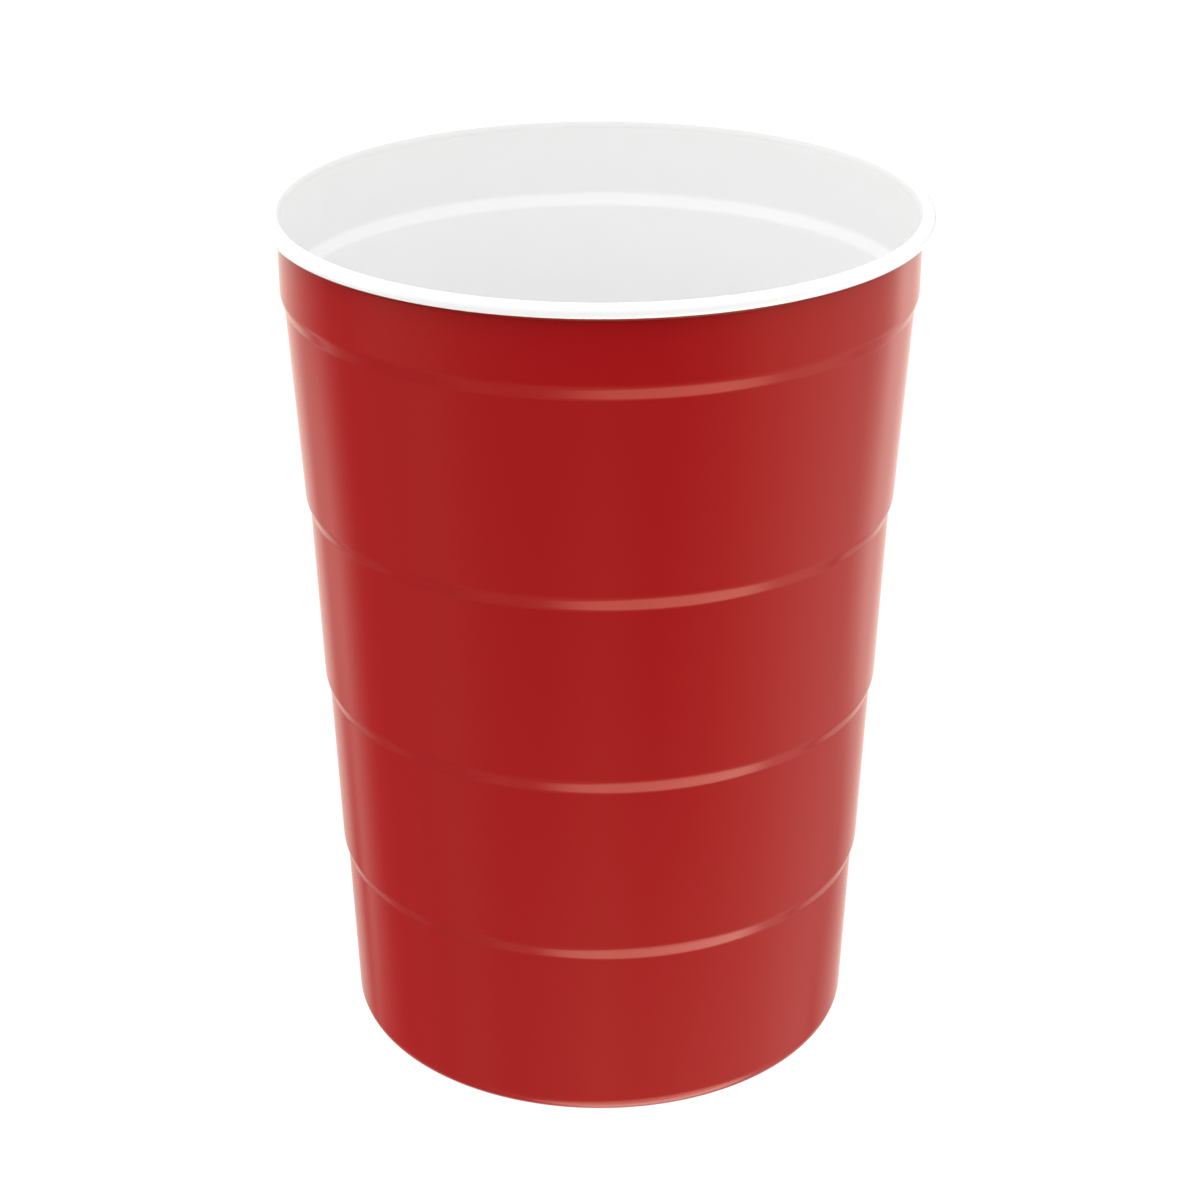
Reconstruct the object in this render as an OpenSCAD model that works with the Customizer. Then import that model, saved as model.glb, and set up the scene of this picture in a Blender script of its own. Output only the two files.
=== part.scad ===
// Steel party cup, pressed from one round sheet with its rim rolled outwards.
// Millimetres, +Z up. The origin is on the cup's axis, in the plane that the foot stands on.
// The section is drawn once, as the outer face of the sheet from the axis to the rolled edge.
// The inner face runs beside it at the sheet's thickness, and the two turn around the axis.

/* [Sheet] */
// Thickness of the coated steel sheet
sheet_t = 0.45; // [0.3:0.05:0.9]

/* [Foot] */
// Width across the foot, where the line of the wall meets the ground
foot_w = 71.4; // [60:0.1:90]
// Bend radius between the foot and the wall, on the outside
foot_bend_r = 2.85; // [1.5:0.05:4]
// Width of the foot ring, from the wall's line on the ground in to the foot of the panel's slope
foot_ring_w = 5.3; // [5:0.1:9]
// Height of the panel's underside above the ground
panel_rise = 1.8; // [1:0.1:4]
// How far the slope from the panel down to the foot ring reaches outwards
panel_slope_w = 1.4; // [1:0.1:3]
// Bend radius at the top of that slope, on the underside
panel_bend_r = 0.6; // [0.4:0.1:1]
// Bend radius at the foot of that slope, on the underside
ring_bend_r = 1.2; // [1:0.1:1.5]

/* [Bands] */
// Height of the first band, from the ground to the shoulder of the first step
band_1_h = 27.8; // [20:0.1:40]
// Height of the second band, shoulder to shoulder
band_2_h = 26.15; // [15:0.05:40]
// Height of the third band, shoulder to shoulder
band_3_h = 26.9; // [15:0.1:40]
// Height of the fourth band, shoulder to shoulder
band_4_h = 29; // [15:0.1:40]
// Height of the upright top band, from the last shoulder to the top of the rim
top_band_h = 10.95; // [6:0.05:25]
// Lean of the three lower bands away from upright, in degrees
lower_lean = 2.42; // [0:0.02:6]
// Lean of the fourth band away from upright, in degrees
upper_lean = 3.45; // [0:0.05:6]

/* [Steps] */
// How far each step brings the wall in
step_depth = 0.58; // [0.3:0.02:1]
// Height of each step, from its shoulder down to its hollow
step_h = 1.75; // [1.5:0.05:3]
// Bend radius at the shoulder of a step, on the outside
shoulder_bend_r = 2.5; // [1:0.1:5]
// Bend radius in the hollow under a step, on the outside
hollow_bend_r = 1.5; // [0.5:0.1:2]

/* [Rim] */
// Width of the hollow inside the rolled rim
curl_bore = 1.3; // [0.9:0.05:3]
// Turn of the rolled rim from the upright wall round to its edge, in degrees
curl_turn = 290; // [180:5:290]

/* [Fineness] */
// Largest turn between two points of a bend, in degrees
bend_point_turn = 6; // [3:1:12]

/* [Hidden] */
enamel_red = [0.64, 0.13, 0.12];
points_around = 160;

// Height of the whole cup
cup_h = band_1_h + band_2_h + band_3_h + band_4_h + top_band_h;

// Each band under a step: its height and its lean
bands = [
    [band_1_h, lower_lean],
    [band_2_h, lower_lean],
    [band_3_h, lower_lean],
    [band_4_h, upper_lean]
];

// Hollow and shoulder of every step from the given corner upwards
function step_corners(corner, i = 0) =
    i == len(bands) ? [] :
    let (
        straight = bands[i][0] - step_h,
        hollow = corner + [straight * tan(bands[i][1]), straight],
        shoulder = hollow + [step_depth, step_h]
    )
    concat([hollow, shoulder], step_corners(shoulder, i + 1));

// Corners of the foot, outwards from the panel, with their bend radii
slope_foot_r = foot_w / 2 - foot_ring_w;
foot_corners = [
    [[slope_foot_r - panel_slope_w, panel_rise], panel_bend_r],
    [[slope_foot_r, 0], ring_bend_r],
    [[foot_w / 2, 0], foot_bend_r]
];

wall_corners = step_corners([foot_w / 2, 0]);
neck_r = wall_corners[len(wall_corners) - 1].x;
curl_centre = [neck_r + curl_bore / 2, cup_h - curl_bore / 2 - sheet_t];

// The outer face's corners in order, each with its bend radius
corners = concat(
    [[[0, panel_rise], 0]],
    foot_corners,
    [for (i = [0 : len(wall_corners) - 1])
        [wall_corners[i], i % 2 == 0 ? hollow_bend_r : shoulder_bend_r]],
    [[[neck_r, curl_centre.y], 0]]
);

function heading(a, b) = (b - a) / norm(b - a);
function left_of(direction) = [-direction.y, direction.x];
function around(centre, r, angle) = centre + r * [cos(angle), sin(angle)];

// Points of the bend at corner b between a and c. The outer face has radius r,
// and the returned face runs beside it at the given inset, to the left of travel.
function bend(a, b, c, r, inset) =
    let (
        u = heading(a, b),
        v = heading(b, c),
        side = sign(cross(u, v)),
        turn = acos(u * v),
        centre = b - u * r * tan(turn / 2) + left_of(u) * side * r,
        first = atan2(-side * left_of(u).y, -side * left_of(u).x),
        count = ceil(turn / bend_point_turn)
    )
    [for (k = [0 : count]) around(centre, r - side * inset, first + side * turn * k / count)];

// Points of the rolled rim, over the top and down to the sheet's edge
function curl(inset) =
    let (count = ceil(curl_turn / (2 * bend_point_turn)))
    [for (k = [0 : count])
        around(curl_centre, curl_bore / 2 + inset, 180 - curl_turn * k / count)];

// One face of the sheet from the axis to the rolled edge
function face(inset) = concat(
    [corners[0][0] + [0, inset]],
    [for (i = [1 : len(corners) - 2])
        each bend(corners[i - 1][0], corners[i][0], corners[i + 1][0], corners[i][1], inset)],
    curl(inset)
);

function reversed(points) = [for (i = [len(points) - 1 : -1 : 0]) points[i]];

// The whole cup: pressed wall, foot and rolled rim in one sheet
module cup() {
    color(enamel_red)
        rotate_extrude($fn = points_around)
            polygon(concat(face(0), reversed(face(sheet_t))));
}

cup();
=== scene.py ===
"""Steel party cup: one pressed and rolled sheet, red gloss outside and white inside.

Metres throughout, +Z up, the cup's axis on Z and its foot on the plane Z = 0.
"""

import logging
import math
from dataclasses import dataclass
from enum import Enum

import bpy
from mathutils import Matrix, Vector


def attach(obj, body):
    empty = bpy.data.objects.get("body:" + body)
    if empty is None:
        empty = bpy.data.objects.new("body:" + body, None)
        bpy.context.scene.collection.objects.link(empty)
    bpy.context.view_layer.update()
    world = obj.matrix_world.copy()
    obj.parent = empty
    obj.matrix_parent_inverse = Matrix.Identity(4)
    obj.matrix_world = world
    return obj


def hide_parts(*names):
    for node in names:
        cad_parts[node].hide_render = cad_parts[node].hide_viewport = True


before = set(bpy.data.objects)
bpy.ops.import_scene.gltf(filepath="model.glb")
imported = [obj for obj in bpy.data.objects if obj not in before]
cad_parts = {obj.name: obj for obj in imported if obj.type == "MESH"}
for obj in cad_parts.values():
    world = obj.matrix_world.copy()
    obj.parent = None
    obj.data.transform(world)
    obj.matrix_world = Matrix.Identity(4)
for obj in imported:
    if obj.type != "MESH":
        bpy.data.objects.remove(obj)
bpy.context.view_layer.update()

MM = 0.001
LOG = logging.getLogger("steel_party_cup")

Colour = tuple[float, float, float, float]
Span = tuple[float, float]
Stops = tuple[tuple[float, float], ...]


class Coat(Enum):
    """Which coat lies on a stretch of the sheet's section, in the order that the section runs."""

    OUTSIDE = 0
    # Painted shade: the dark line under the rolled rim
    EDGE = 1
    RIM = 2
    # Painted shade: grey that darkens up the rim's inner bend
    BEND = 3
    INSIDE = 4


def linear(hex_colour: str) -> Colour:
    """Turn an sRGB hex colour into linear RGBA.

    Args:
        hex_colour: Six hex digits, such as "a01c1e".

    Returns:
        The linear colour with an alpha of 1.
    """

    def channel(value: int) -> float:
        """Linear value of one channel from 0 to 255."""
        s = value / 255
        return s / 12.92 if s <= 0.04045 else ((s + 0.055) / 1.055) ** 2.4

    red, green, blue = (channel(int(hex_colour[i:i + 2], 16)) for i in (0, 2, 4))
    return red, green, blue, 1.0


def add_node(tree: bpy.types.NodeTree, kind: str, settings: dict | None = None,
             links: dict | None = None) -> bpy.types.Node:
    """Add a node, set it up and link it.

    Args:
        tree: The node tree that gets the node.
        kind: The node's type name.
        settings: Node attributes by name, or socket values by name or index.
        links: Source sockets by the name or index of the input that each one feeds.

    Returns:
        The new node.
    """
    node = tree.nodes.new(kind)
    for name, value in (settings or {}).items():
        if isinstance(name, str) and hasattr(node, name):
            setattr(node, name, value)
        else:
            node.inputs[name].default_value = value
    for name, source in (links or {}).items():
        tree.links.new(source, node.inputs[name])
    return node


# Finishes

@dataclass(frozen=True)
class Enamel:
    """Enamel on steel, whose colour and gloss vary a little over the surface.

    The colour darkens with height between the shade heights: painted shade. Lengths are metres.
    A value that is given here is one that several coats share.
    """

    name: str
    # Colour low down, and the darker colour that the painted shade reaches higher up and
    # the mottle patches take, as sRGB hex
    colour: str
    shade_and_mottle_colour: str
    # Lowest and highest roughness
    roughness: Span
    ior: float
    # Tint of the reflection seen straight on
    reflection_tint: Colour = (1.0, 1.0, 1.0, 1.0)
    # Patches of thicker coat: their size, how broken they are, and their share in the thickness
    mottle_size: float = 6 * MM
    mottle_detail: float = 3.0
    mottle_share: float = 0.12
    # Heights between which the painted shade darkens the colour, from the low colour to the
    # shaded one
    shade_heights: Span = (0.0, 120 * MM)
    # Faint waves in the coat: their size, how broken they are, and their depth
    peel_size: float = 2 * MM
    peel_detail: float = 1.0
    peel_depth: float = 0.001 * MM
    # Red glow where the eye looks along the wall
    bloom: float = 0.0
    bloom_roughness: float = 0.42
    bloom_tint: Colour = (1.0, 0.08, 0.07, 1.0)

    def material(self) -> bpy.types.Material:
        """Build the node material.

        Returns:
            The material, with its patterns on object coordinates.
        """
        material = bpy.data.materials.new(self.name)
        material.use_nodes = True
        tree = material.node_tree
        tree.nodes.clear()
        place = add_node(tree, "ShaderNodeTexCoord").outputs["Object"]
        mottle = add_node(tree, "ShaderNodeTexNoise",
                          {"Scale": 1 / self.mottle_size, "Detail": self.mottle_detail},
                          {"Vector": place}).outputs["Fac"]
        peel = add_node(tree, "ShaderNodeTexNoise",
                        {"Scale": 1 / self.peel_size, "Detail": self.peel_detail},
                        {"Vector": place}).outputs["Fac"]
        height = add_node(tree, "ShaderNodeSeparateXYZ", None, {"Vector": place}).outputs["Z"]
        # Painted shade: the colour darkens with height, mixed with the random mottle patches
        painted_shade = add_node(tree, "ShaderNodeMapRange",
                           {"From Min": self.shade_heights[0],
                            "From Max": self.shade_heights[1]}, {"Value": height})
        shade_and_mottle = add_node(tree, "ShaderNodeMix", {"data_type": "FLOAT", 0: self.mottle_share},
                          {2: painted_shade.outputs["Result"], 3: mottle}).outputs[0]
        tone = add_node(tree, "ShaderNodeMix",
                        {"data_type": "RGBA", 6: linear(self.colour),
                         7: linear(self.shade_and_mottle_colour)}, {0: shade_and_mottle})
        gloss = add_node(tree, "ShaderNodeMapRange",
                         {"To Min": self.roughness[0], "To Max": self.roughness[1]},
                         {"Value": mottle})
        waves = add_node(tree, "ShaderNodeBump", {"Strength": 1.0, "Distance": self.peel_depth},
                         {"Height": peel})
        shader = add_node(tree, "ShaderNodeBsdfPrincipled",
                          {"IOR": self.ior, "Specular Tint": self.reflection_tint,
                           "Sheen Weight": self.bloom, "Sheen Roughness": self.bloom_roughness,
                           "Sheen Tint": self.bloom_tint},
                          {"Base Color": tone.outputs[2], "Roughness": gloss.outputs["Result"],
                           "Normal": waves.outputs["Normal"]})
        add_node(tree, "ShaderNodeOutputMaterial", None, {"Surface": shader.outputs["BSDF"]})
        return material


@dataclass(frozen=True)
class RedGlossEnamel(Enamel):
    """Red enamel fired or baked on steel.

    It gives a deep red with soft-edged reflections, and painted shade makes it a little darker
    towards the rim. The reflections keep some of the red where the eye looks straight at the
    wall, and turn white where it looks along the wall.
    """

    name: str = "red_gloss_enamel"
    # Painted shade: the red darkens from the first colour at the foot to the second at the rim.
    colour: str = "a11319"
    shade_and_mottle_colour: str = "9c1117"
    roughness: Span = (0.12, 0.16)
    ior: float = 1.5
    reflection_tint: Colour = (1.0, 0.39, 0.29, 1.0)
    mottle_size: float = 9 * MM
    peel_size: float = 1.6 * MM
    peel_depth: float = 0.0012 * MM
    bloom: float = 0.28


@dataclass(frozen=True)
class PaintedShadeLine(Enamel):
    """Dark red under the rolled rim, where the red coat ends: painted shade in the crease there.

    It gives the thin dark line that sets the white rim off from the red wall.
    """

    name: str = "painted_shade_line"
    colour: str = "860c12"
    shade_and_mottle_colour: str = "7a0a0f"
    roughness: Span = (0.3, 0.4)
    ior: float = 1.35
    reflection_tint: Colour = (1.0, 0.39, 0.29, 1.0)


@dataclass(frozen=True)
class WhiteRimEnamel(Enamel):
    """White enamel dipped over the rolled rim.

    The coat is thicker there, so the rim is the brightest and glossiest white on the cup.
    """

    name: str = "white_rim_enamel"
    colour: str = "f3f4f9"
    shade_and_mottle_colour: str = "f0f1f6"
    roughness: Span = (0.1, 0.16)
    ior: float = 1.5


@dataclass(frozen=True)
class PaintedShadeBend(Enamel):
    """White enamel on the rim's inner bend, with painted shade: a grey that darkens up the bend.

    It ends the bright rim at the mouth, and goes over into the grey white of the inside.
    """

    name: str = "painted_shade_bend"
    colour: str = "ececec"
    shade_and_mottle_colour: str = "d1d1d1"
    roughness: Span = (0.35, 0.45)
    ior: float = 1.4
    mottle_size: float = 12 * MM
    # Painted shade: the grey darkens from the low end of the bend to its top
    shade_heights: Span = (119.7 * MM, 120.6 * MM)


@dataclass(frozen=True)
class WhiteLinerEnamel(Enamel):
    """White enamel inside the cup.

    It gives a clean, slightly grey white with a satin sheen, so that the inside steps read only
    as soft lighter bands.
    """

    name: str = "white_liner_enamel"
    colour: str = "f7f7f7"
    shade_and_mottle_colour: str = "eeeeee"
    roughness: Span = (0.35, 0.45)
    ior: float = 1.4
    mottle_size: float = 12 * MM
    # Painted shade: the inside darkens a little towards the rim
    shade_heights: Span = (88 * MM, 110 * MM)


# The cup

@dataclass
class PressedCup:
    """The cup's one sheet: its section and its turning around the axis.

    Lengths are metres and angles are degrees. The bends are the radii of the outer face.
    """

    # Thickness of the coated sheet
    sheet: float = 0.45 * MM
    # Foot: its width at the ground, its bends, the ring it stands on and the raised panel inside
    foot_width: float = 71.4 * MM
    foot_bend: float = 2.85 * MM
    foot_ring: float = 5.3 * MM
    panel_rise: float = 1.8 * MM
    panel_slope: float = 1.4 * MM
    panel_bend: float = 0.6 * MM
    ring_bend: float = 1.2 * MM
    # Bands from the foot up, shoulder to shoulder, with their leans, and the upright top band
    band_heights: tuple[float, ...] = (27.8 * MM, 26.15 * MM, 26.9 * MM, 29.0 * MM)
    band_leans: tuple[float, ...] = (2.42, 2.42, 2.42, 3.45)
    top_band: float = 10.95 * MM
    # Steps: how far and over what height each one widens the wall, and its bends
    step_depth: float = 0.58 * MM
    step_height: float = 1.75 * MM
    shoulder_bend: float = 2.5 * MM
    hollow_bend: float = 1.5 * MM
    # Rolled rim: the hollow in it and how far it turns
    curl_bore: float = 1.3 * MM
    curl_turn: float = 290.0
    # Where the coats change on the rim, counted from its outermost point up over the top
    # Painted shade: from here to the rim coat, the dark line under the rim
    shade_line_start: float = -80.0
    rim_coat_start: float = -31.0
    # From here over to the inside, the bend carries painted shade
    rim_coat_end: float = 126.0
    # Fineness: columns around, and the largest turn between two points of a bend
    around: int = 216
    bend_turn: float = 4.5
    # Fineness of the straight walls: their longest row, and the short row beside each bend
    longest_row: float = 4 * MM
    row_by_bend: float = 0.12 * MM
    # Distance within which two points of the turned skin become one
    weld_gap: float = 0.001 * MM
    # One finish for each coat, in the order of Coat
    finishes: tuple[Enamel, ...] = (RedGlossEnamel(), PaintedShadeLine(), WhiteRimEnamel(),
                                    PaintedShadeBend(), WhiteLinerEnamel())

    @property
    def height(self) -> float:
        """Height of the cup from the ground to the top of the rim."""
        return sum(self.band_heights) + self.top_band

    def corners(self) -> list[tuple[Vector, float]]:
        """Lay out the outer face's corners from the axis to the upright top band.

        Returns:
            Each corner in the plane of radius and height, with its bend radius.
        """
        slope_foot = self.foot_width / 2 - self.foot_ring
        found = [(Vector((0, self.panel_rise)), 0.0),
                 (Vector((slope_foot - self.panel_slope, self.panel_rise)), self.panel_bend),
                 (Vector((slope_foot, 0)), self.ring_bend),
                 (Vector((self.foot_width / 2, 0)), self.foot_bend)]
        corner = found[-1][0]
        for band, lean in zip(self.band_heights, self.band_leans):
            straight = band - self.step_height
            hollow = corner + Vector((straight * math.tan(math.radians(lean)), straight))
            corner = hollow + Vector((self.step_depth, self.step_height))
            found += [(hollow, self.hollow_bend), (corner, self.shoulder_bend)]
        found.append((Vector((corner.x, self.curl_centre_height)), 0.0))
        return found

    @property
    def curl_centre_height(self) -> float:
        """Height of the rolled rim's centre."""
        return self.height - self.curl_bore / 2 - self.sheet

    def arc(self, centre: Vector, radius: float, start: float, turn: float) -> list[Vector]:
        """Points along an arc.

        Args:
            centre: The arc's centre.
            radius: Its radius.
            start: Its first angle, in radians.
            turn: How far it turns, in radians, and which way.

        Returns:
            The points from first to last.
        """
        count = max(2, math.ceil(abs(turn) / math.radians(self.bend_turn)))
        angles = [start + turn * k / count for k in range(count + 1)]
        return [centre + radius * Vector((math.cos(a), math.sin(a))) for a in angles]

    def bend(self, before: Vector, corner: Vector, after: Vector, radius: float,
             inset: float) -> list[Vector]:
        """Points of the bend at a corner, on the face that lies inset to the left of travel.

        Args:
            before: The corner before this one.
            corner: The corner that is rounded.
            after: The corner after it.
            radius: Bend radius of the outer face.
            inset: How far the wanted face lies from the outer one.

        Returns:
            The points of the bend in order.
        """
        u, v = (corner - before).normalized(), (after - corner).normalized()
        left = Vector((-u.y, u.x))
        side = math.copysign(1, u.x * v.y - u.y * v.x)
        turn = math.acos(max(-1.0, min(1.0, u.dot(v))))
        centre = corner - u * radius * math.tan(turn / 2) + left * side * radius
        start = math.atan2(-side * left.y, -side * left.x)
        return self.arc(centre, radius - side * inset, start, side * turn)

    def straight(self, start: Vector, end: Vector) -> list[Vector]:
        """Points between two bends, close to both so that the wall between them shades flat.

        Args:
            start: Last point of the bend before.
            end: First point of the bend after.

        Returns:
            The points strictly between the two.
        """
        length = (end - start).length
        if length < 3 * self.row_by_bend:
            return []
        inner = length - 2 * self.row_by_bend
        count = max(1, math.ceil(inner / self.longest_row))
        along = [self.row_by_bend + inner * k / count for k in range(count + 1)]
        return [start.lerp(end, d / length) for d in along]

    def face(self, inset: float) -> list[Vector]:
        """One face of the sheet, from the axis up to the rolled rim.

        Args:
            inset: Zero for the outer face, the sheet's thickness for the inner one.

        Returns:
            The points in order.
        """
        corners = self.corners()
        points = [corners[0][0] + Vector((0, inset))]
        for (before, _), (corner, radius), (after, _) in zip(corners, corners[1:], corners[2:]):
            turned = self.bend(before, corner, after, radius, inset)
            points += self.straight(points[-1], turned[0]) + turned
        neck = corners[-1][0] - Vector((inset, 0))
        return points + self.straight(points[-1], neck) + [neck]

    def section(self) -> tuple[list[Vector], list[Coat]]:
        """The whole section, from the axis under the base, over the rim, to the axis inside.

        Returns:
            The points, and the coat on the stretch that starts at each one.
        """
        centre = Vector((self.corners()[-1][0].x + self.curl_bore / 2, self.curl_centre_height))
        turn = math.radians(self.curl_turn)
        shade_line_angle = math.radians(self.shade_line_start)
        rim_start = math.radians(self.rim_coat_start)
        rim_end = math.radians(self.rim_coat_end)
        inner_radius, outer_radius = self.curl_bore / 2, self.curl_bore / 2 + self.sheet
        mid_radius = (inner_radius + outer_radius) / 2
        end = math.pi - turn
        end_centre = centre + mid_radius * Vector((math.cos(end), math.sin(end)))
        hidden = self.arc(centre, inner_radius, math.pi, -turn)[1:]
        lip = self.arc(end_centre, self.sheet / 2, end + math.pi, math.pi)[1:]
        tucked = self.arc(centre, outer_radius, end, shade_line_angle - end)[1:]
        # The stretch under the bead, with the painted shade of the dark line
        under = self.arc(centre, outer_radius, shade_line_angle, rim_start - shade_line_angle)[1:]
        bead = self.arc(centre, outer_radius, rim_start, rim_end - rim_start)[1:]
        # The inner bend, with painted shade
        over = self.arc(centre, outer_radius, rim_end, math.pi - rim_end)[1:]
        stretches = [(self.face(0) + hidden + lip + tucked, Coat.OUTSIDE),
                     (under, Coat.EDGE), (bead, Coat.RIM), (over, Coat.BEND),
                     (self.face(self.sheet)[-2::-1], Coat.INSIDE)]
        points: list[Vector] = []
        coats: list[Coat] = []
        for stretch, coat in stretches:
            if points:
                coats[-1] = coat
            points += stretch
            coats += [coat] * len(stretch)
        return points, coats

    def lathe_tree(self) -> bpy.types.NodeTree:
        """Build the node tree that turns a section around Z.

        Returns:
            The tree, with the number of segments and the coats as named inputs.
        """
        tree = bpy.data.node_groups.new("turned_sheet", "GeometryNodeTree")
        ends = tree.interface
        ends.new_socket("Section", in_out="INPUT", socket_type="NodeSocketGeometry")
        ends.new_socket("Segments", in_out="INPUT", socket_type="NodeSocketInt")
        for coat in Coat:
            ends.new_socket(f"{coat.name.title()} Coat", in_out="INPUT",
                            socket_type="NodeSocketMaterial")
        ends.new_socket("Cup", in_out="OUTPUT", socket_type="NodeSocketGeometry")

        given = add_node(tree, "NodeGroupInput").outputs
        section, segments = given["Section"], given["Segments"]
        rows = add_node(tree, "GeometryNodeAttributeDomainSize", None,
                        {"Geometry": section}).outputs["Point Count"]
        columns = add_node(tree, "FunctionNodeIntegerMath", {"operation": "ADD", 1: 1},
                           {0: segments}).outputs[0]
        grid = add_node(tree, "GeometryNodeMeshGrid", None,
                        {"Vertices X": columns, "Vertices Y": rows}).outputs["Mesh"]
        index = add_node(tree, "GeometryNodeInputIndex").outputs[0]

        row = add_node(tree, "FunctionNodeIntegerMath", {"operation": "MODULO"},
                       {0: index, 1: rows}).outputs[0]
        column = add_node(tree, "FunctionNodeIntegerMath", {"operation": "DIVIDE_FLOOR"},
                          {0: index, 1: rows}).outputs[0]
        place = add_node(tree, "GeometryNodeInputPosition").outputs[0]
        drawn = add_node(tree, "GeometryNodeSampleIndex", {"data_type": "FLOAT_VECTOR"},
                         {"Geometry": section, "Value": place, "Index": row}).outputs[0]
        share = add_node(tree, "ShaderNodeMath", {"operation": "DIVIDE"},
                         {0: column, 1: segments}).outputs[0]
        angle = add_node(tree, "ShaderNodeMath", {"operation": "MULTIPLY", 1: 2 * math.pi},
                         {0: share}).outputs[0]
        turned = add_node(tree, "ShaderNodeVectorRotate", {"rotation_type": "Z_AXIS"},
                          {"Vector": drawn, "Angle": angle}).outputs[0]
        skin = add_node(tree, "GeometryNodeSetPosition", None,
                        {"Geometry": grid, "Position": turned}).outputs[0]

        strips = add_node(tree, "FunctionNodeIntegerMath", {"operation": "SUBTRACT", 1: 1},
                          {0: rows}).outputs[0]
        strip = add_node(tree, "FunctionNodeIntegerMath", {"operation": "MODULO"},
                         {0: index, 1: strips}).outputs[0]
        drawn_coat = add_node(tree, "GeometryNodeInputNamedAttribute",
                              {"data_type": "INT", "Name": "coat"}).outputs[0]
        coat_of_face = add_node(tree, "GeometryNodeSampleIndex", {"data_type": "INT"},
                                {"Geometry": section, "Value": drawn_coat,
                                 "Index": strip}).outputs[0]
        coated = add_node(tree, "GeometryNodeStoreNamedAttribute",
                          {"data_type": "INT", "domain": "FACE", "Name": "coat_of_face"},
                          {"Geometry": skin, "Value": coat_of_face}).outputs[0]
        closed = add_node(tree, "GeometryNodeMergeByDistance", {"Distance": self.weld_gap},
                          {"Geometry": coated}).outputs[0]
        smooth = add_node(tree, "GeometryNodeSetShadeSmooth", None,
                          {"Geometry": closed}).outputs[0]
        cup = add_node(tree, "GeometryNodeRealizeInstances", None,
                       {"Geometry": smooth}).outputs[0]
        stored = add_node(tree, "GeometryNodeInputNamedAttribute",
                          {"data_type": "INT", "Name": "coat_of_face"}).outputs[0]
        for coat in Coat:
            chosen = add_node(tree, "FunctionNodeCompare",
                              {"data_type": "INT", "operation": "EQUAL", 3: coat.value},
                              {2: stored}).outputs[0]
            cup = add_node(tree, "GeometryNodeSetMaterial", None,
                           {"Geometry": cup, "Selection": chosen,
                            "Material": given[f"{coat.name.title()} Coat"]}).outputs[0]
        add_node(tree, "NodeGroupOutput", None, {"Cup": cup})
        return tree

    def build(self) -> bpy.types.Object:
        """Turn the section into the finished cup.

        Returns:
            The cup as one plain mesh with its coats.
        """
        points, coats = self.section()
        mesh = bpy.data.meshes.new("cup_section")
        mesh.from_pydata([(p.x, 0.0, p.y) for p in points],
                         [(i, i + 1) for i in range(len(points) - 1)], [])
        marks = mesh.attributes.new("coat", "INT", "POINT")
        marks.data.foreach_set("value", [coat.value for coat in coats])
        cup = bpy.data.objects.new("party_cup", mesh)
        bpy.context.scene.collection.objects.link(cup)

        tree = self.lathe_tree()
        values = {"Segments": self.around}
        for coat, finish in zip(Coat, self.finishes):
            values[f"{coat.name.title()} Coat"] = finish.material()
        turning = cup.modifiers.new("turned_sheet", "NODES")
        turning.node_group = tree
        for socket in tree.interface.items_tree:
            if socket.in_out == "INPUT" and socket.name in values:
                turning[socket.identifier] = values[socket.name]

        shown = cup.evaluated_get(bpy.context.evaluated_depsgraph_get())
        plain = bpy.data.meshes.new_from_object(shown)
        cup.modifiers.remove(turning)
        cup.data = plain
        plain.name = "party_cup"
        bpy.data.meshes.remove(mesh)
        return cup


# The studio

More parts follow.
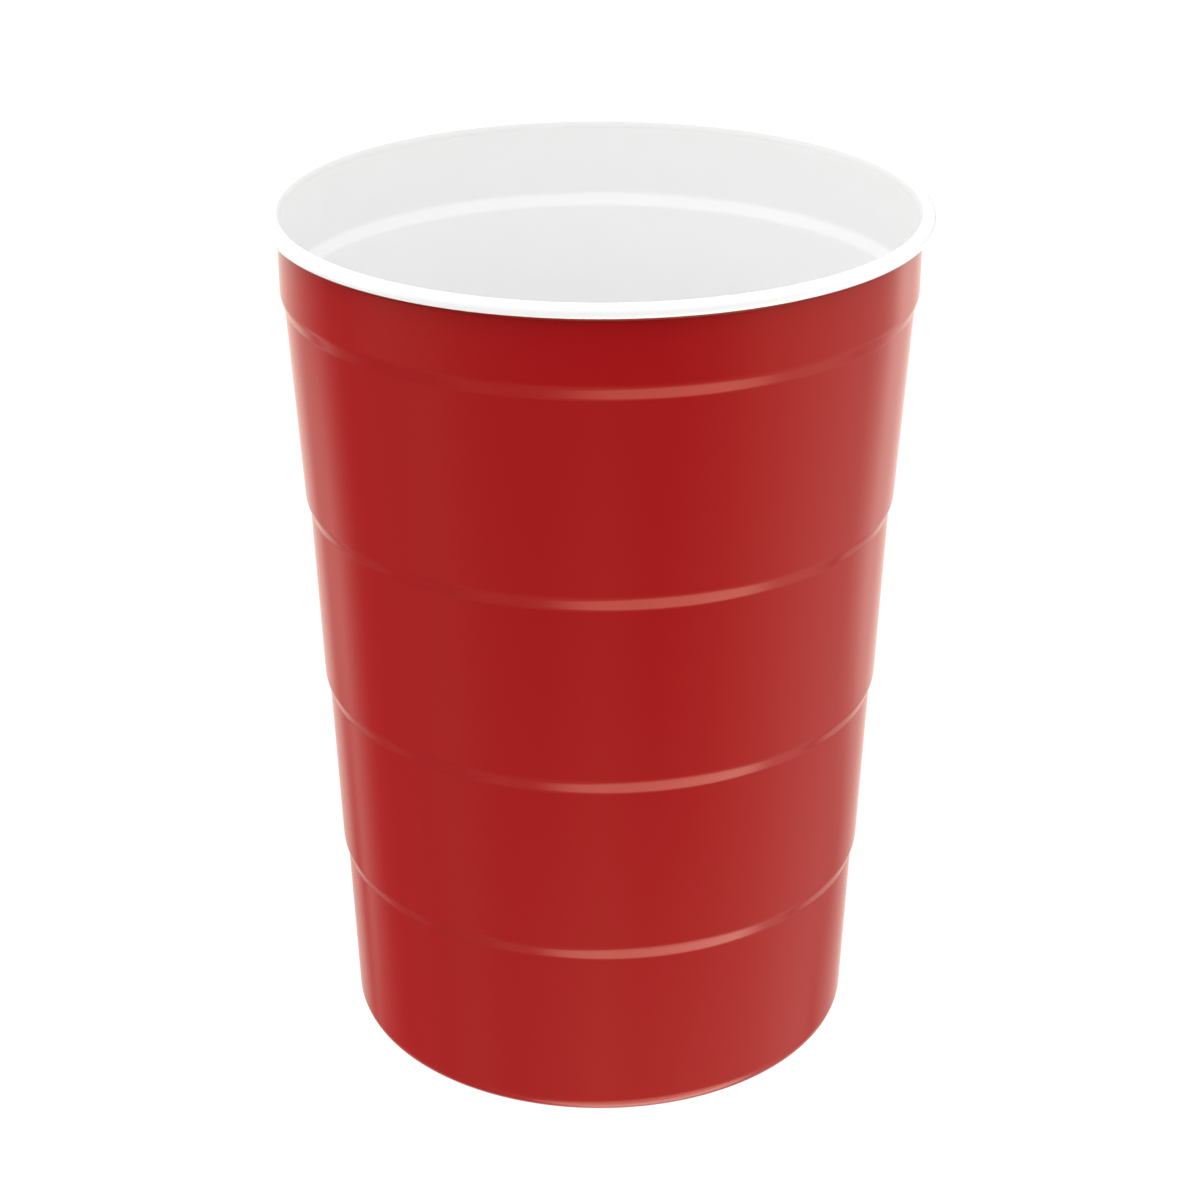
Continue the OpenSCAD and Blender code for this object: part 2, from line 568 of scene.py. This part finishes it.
@dataclass
class Studio:
    """Pale floor, soft light all round and the camera.

    The light's levels follow from the reflections measured on the photographed cup: each was
    worked out from the brightness of the wall that mirrors it, then rounded and changed from
    render to render. A stop is a bearing in degrees, 0 toward the camera and 90 to the right, and
    a brightness.
    """

    floor_half_width: float = 6.0
    floor_colour: str = "ffffff"
    floor_glow: float = 1.05
    # Camera: focal length and frame in the photograph's pixels, sensor in mm, place and aim
    lens_pixels: float = 2782.0
    frame_pixels: float = 1200.0
    sensor: float = 36.0
    camera_distance: float = 359.3 * MM
    camera_height: float = 224.0 * MM
    aim: tuple[float, float, float] = (0.03 * MM, 0.0, 62.63 * MM)
    clip: Span = (0.01, 50.0)
    # Brightness of the whole surround, and the white that the camera sees behind the cup
    surround_strength: float = 0.8
    backdrop: Colour = (1.4, 1.4, 1.4, 1.0)
    # Neutral light from above, and the elevations between which it takes over
    ceiling: Stops = ((-180, 1.85), (-90, 1.96), (0, 1.83), (90, 1.72))
    ceiling_rise: Span = (-1.0, 20.0)
    # Warm tint of all light below the ceiling
    ring_tint: tuple[float, float, float] = (1.04, 1.03, 0.91)
    # Soft round light from the table at the front right, which the steps and the foot mirror: its
    # direction, the angles from it at which it has faded out and is full, and its strength
    pool_axis: tuple[float, float, float] = (0.235, -0.225, -1.0)
    pool_faded: float = 32.5
    pool_full: float = 20.5
    pool_strength: float = 2.8
    # Upright strip lights and the gaps between them, as the top band mirrors them
    strips: Stops = (
        (-180, 1.2), (-170, 1.45), (-160, 1.35), (-150, 1.2), (-141, 1.04), (-132, 0.7),
        (-124, 0.45), (-110, 0.2), (-98, 0.3), (-82, 0.76), (-61, 0.75), (-43, 0.46),
        (-21, 0.25), (0, 0.17), (21, 0.17), (43, 0.57), (61, 1.28), (81, 1.38), (98, 1.17),
        (116, 0.95), (126, 1.15), (136, 2.05), (150, 1.4), (170, 1.45))
    # The same ring of light at rising elevations in degrees, from the lowest up. The walls mirror
    # the first five rows. The row at -6 has the low lights behind the cup that light its sides.
    surround: tuple[tuple[float, Stops], ...] = (
        (-38, ((-180, 1.1), (-170, 0.8), (-160, 0.6), (-150, 0.45), (-139, 0.4), (-128, 0.1),
               (-118, 0.26), (-106, 0.14), (-93, 0.3), (-78, 0.38), (-59, 0.74), (-42, 0.66),
               (-20, 1.0), (0, 1.33), (20, 1.08), (58, 1.3), (77, 1.22), (91, 1.19),
               (105, 1.05), (118, 0.68), (125, 0.25), (133, 0.8), (160, 0.7), (170, 0.9))),
        (-31, ((-180, 0.6), (-170, 1.15), (-160, 0.9), (-150, 0.85), (-139, 0.24), (-131, 0.82),
               (-123, 0.54), (-113, 0.2), (-100, 0.22), (-84, 0.4), (-63, 0.75), (-44, 0.58),
               (-22, 0.51), (0, 0.76), (22, 0.47), (44, 0.75), (62, 1.11), (83, 1.3),
               (99, 1.12), (114, 0.88), (132, 0.5), (150, 0.92), (160, 1.12), (170, 1.4))),
        (-25, ((-180, 1.0), (-170, 1.35), (-160, 1.15), (-151, 1.05), (-142, 0.6), (-128, 1.04),
               (-118, 0.54), (-109, 0.18), (-98, 0.26), (-85, 0.4), (-64, 0.73), (-45, 0.52),
               (-22, 0.4), (0, 0.48), (21, 0.37), (44, 0.64), (63, 1.22), (84, 1.4),
               (101, 1.2), (117, 0.9), (136, 1.5), (146, 1.2), (160, 1.3), (170, 1.4))),
        (-17, strips), (-12, strips),
        (-6, ((-180, 0.3), (-146, 0.3), (-125, 44.0), (-104, 1.0), (-85, 13.5), (-60, 0.3),
              (85, 0.3), (105, 5.4), (125, 0.3))),
        (0, ((-180, 1.0), (-90, 1.0), (-45, 0.5), (45, 0.5), (90, 1.0))))

    def build(self) -> None:
        """Make the floor, the light and the camera."""
        self.floor()
        self.world()
        self.camera()
        bpy.context.scene.view_settings.view_transform = "Standard"

    def floor(self) -> None:
        """Make the pale floor, which lights itself like a light table and takes no shadow.

        The cup's reflections and shadows leave it out, because the surround's rows below the
        horizon stand in for the light that it would throw back. It can't be seen from below.
        """
        w = self.floor_half_width
        mesh = bpy.data.meshes.new("floor")
        mesh.from_pydata([(-w, -w, 0), (w, -w, 0), (w, w, 0), (-w, w, 0)], [], [(0, 1, 2, 3)])
        floor = bpy.data.objects.new("floor", mesh)
        bpy.context.scene.collection.objects.link(floor)
        material = bpy.data.materials.new("pale_floor")
        material.use_nodes = True
        tree = material.node_tree
        tree.nodes.clear()
        paint = add_node(tree, "ShaderNodeEmission", {"Color": linear(self.floor_colour),
                                                   "Strength": self.floor_glow})
        clear = add_node(tree, "ShaderNodeBsdfTransparent")
        under = add_node(tree, "ShaderNodeNewGeometry").outputs["Backfacing"]
        seen = add_node(tree, "ShaderNodeMixShader", None,
                        {0: under, 1: paint.outputs[0], 2: clear.outputs[0]})
        add_node(tree, "ShaderNodeOutputMaterial", None, {"Surface": seen.outputs[0]})
        mesh.materials.append(material)
        floor.visible_glossy = False
        floor.visible_diffuse = False
        floor.visible_shadow = False

    def world(self) -> None:
        """Light the scene with a soft studio surround."""
        world = bpy.data.worlds.new("studio_surround")
        bpy.context.scene.world = world
        world.use_nodes = True
        tree = world.node_tree
        tree.nodes.clear()
        way = add_node(tree, "ShaderNodeTexCoord").outputs["Generated"]
        axes = add_node(tree, "ShaderNodeSeparateXYZ", None, {"Vector": way}).outputs
        bearing = self.bearing(tree, axes)
        total = self.ring(tree, bearing, self.surround[0][1])
        for (low, _), (high, stops) in zip(self.surround, self.surround[1:]):
            above = self.rise(tree, axes["Z"], low, high)
            total = add_node(tree, "ShaderNodeMix", {"data_type": "FLOAT"},
                             {0: above, 2: total, 3: self.ring(tree, bearing, stops)}).outputs[0]
        total = add_node(tree, "ShaderNodeMath", {"operation": "ADD"},
                         {0: total, 1: self.pool(tree, way)}).outputs[0]
        ring_colour = add_node(tree, "ShaderNodeVectorMath",
                               {"operation": "SCALE", 0: self.ring_tint},
                               {"Scale": total}).outputs[0]
        ceiling = self.rise(tree, axes["Z"], *self.ceiling_rise)
        total = add_node(tree, "ShaderNodeMix", {"data_type": "RGBA"},
                         {0: ceiling, 6: ring_colour,
                          7: self.ring(tree, bearing, self.ceiling)}).outputs[2]
        camera_ray = add_node(tree, "ShaderNodeLightPath").outputs["Is Camera Ray"]
        seen = add_node(tree, "ShaderNodeMix", {"data_type": "RGBA", 7: self.backdrop},
                        {0: camera_ray, 6: total}).outputs[2]
        light = add_node(tree, "ShaderNodeBackground", {"Strength": self.surround_strength},
                         {"Color": seen})
        add_node(tree, "ShaderNodeOutputWorld", None, {"Surface": light.outputs[0]})

    def bearing(self, tree: bpy.types.NodeTree,
                axes: bpy.types.bpy_prop_collection) -> bpy.types.NodeSocket:
        """Share of the turn around the cup: 0 behind it, a quarter at its left, a half in front.

        Args:
            tree: The world's node tree.
            axes: The outputs that hold the direction's X, Y and Z.

        Returns:
            The socket that holds the share of the turn.
        """
        front = add_node(tree, "ShaderNodeMath", {"operation": "MULTIPLY", 1: -1.0},
                         {0: axes["Y"]}).outputs[0]
        turn = add_node(tree, "ShaderNodeMath", {"operation": "ARCTAN2"},
                        {0: axes["X"], 1: front}).outputs[0]
        return add_node(tree, "ShaderNodeMapRange", {"From Min": -math.pi, "From Max": math.pi},
                        {"Value": turn}).outputs["Result"]

    def rise(self, tree: bpy.types.NodeTree, up: bpy.types.NodeSocket, low: float,
             high: float) -> bpy.types.NodeSocket:
        """Soft step from 0 to 1 between two elevations.

        Args:
            tree: The world's node tree.
            up: The socket that holds the direction's Z.
            low: Elevation in degrees up to which it is 0.
            high: Elevation in degrees from which it is 1.

        Returns:
            The socket that holds the step.
        """
        return add_node(tree, "ShaderNodeMapRange",
                        {"interpolation_type": "SMOOTHSTEP",
                         "From Min": math.sin(math.radians(low)),
                         "From Max": math.sin(math.radians(high))},
                        {"Value": up}).outputs["Result"]

    def ring(self, tree: bpy.types.NodeTree, bearing: bpy.types.NodeSocket,
             stops: Stops) -> bpy.types.NodeSocket:
        """Brightness around the cup at one elevation.

        Args:
            tree: The world's node tree.
            bearing: The socket that holds the share of the turn around the cup.
            stops: The bearings and their brightness, from behind by the left and the front.

        Returns:
            The socket that holds the brightness.
        """
        ramp = add_node(tree, "ShaderNodeValToRGB", None, {0: bearing})
        band = ramp.color_ramp
        while len(band.elements) < len(stops) + 1:
            band.elements.new(0.5)
        for element, (degrees, brightness) in zip(band.elements, stops + ((180, stops[0][1]),)):
            element.position = degrees / 360 + 0.5
            element.color = (brightness, brightness, brightness, 1)
        return ramp.outputs[0]

    def pool(self, tree: bpy.types.NodeTree, way: bpy.types.NodeSocket) -> bpy.types.NodeSocket:
        """Soft round light from the table at the front right.

        Args:
            tree: The world's node tree.
            way: The socket that holds the direction.

        Returns:
            The socket that holds its brightness.
        """
        nearness = add_node(tree, "ShaderNodeVectorMath",
                            {"operation": "DOT_PRODUCT", 1: Vector(self.pool_axis).normalized()},
                            {0: way}).outputs["Value"]
        return add_node(tree, "ShaderNodeMapRange",
                        {"interpolation_type": "SMOOTHSTEP",
                         "From Min": math.cos(math.radians(self.pool_faded)),
                         "From Max": math.cos(math.radians(self.pool_full)),
                         "To Min": 0.0, "To Max": self.pool_strength},
                        {"Value": nearness}).outputs["Result"]

    def camera(self) -> None:
        """Set the camera at the photograph's place and angle."""
        data = bpy.data.cameras.new("camera")
        camera = bpy.data.objects.new("camera", data)
        bpy.context.scene.collection.objects.link(camera)
        data.sensor_width = self.sensor
        data.lens = self.lens_pixels / self.frame_pixels * self.sensor
        data.clip_start, data.clip_end = self.clip
        camera.location = (0.0, -self.camera_distance, self.camera_height)
        look = Vector(self.aim) - camera.location
        camera.rotation_euler = look.to_track_quat("-Z", "Y").to_euler()
        bpy.context.scene.camera = camera


def main() -> None:
    """Build the studio and the cup, hide the imported part, attach the cup and log its faces."""
    logging.basicConfig(level=logging.INFO, format="%(name)s: %(message)s")
    Studio().build()
    cup = PressedCup().build()
    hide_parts("cup")
    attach(cup, "root")
    LOG.info("%s: %d faces", cup.name, len(cup.data.polygons))


if __name__ == "__main__":
    main()
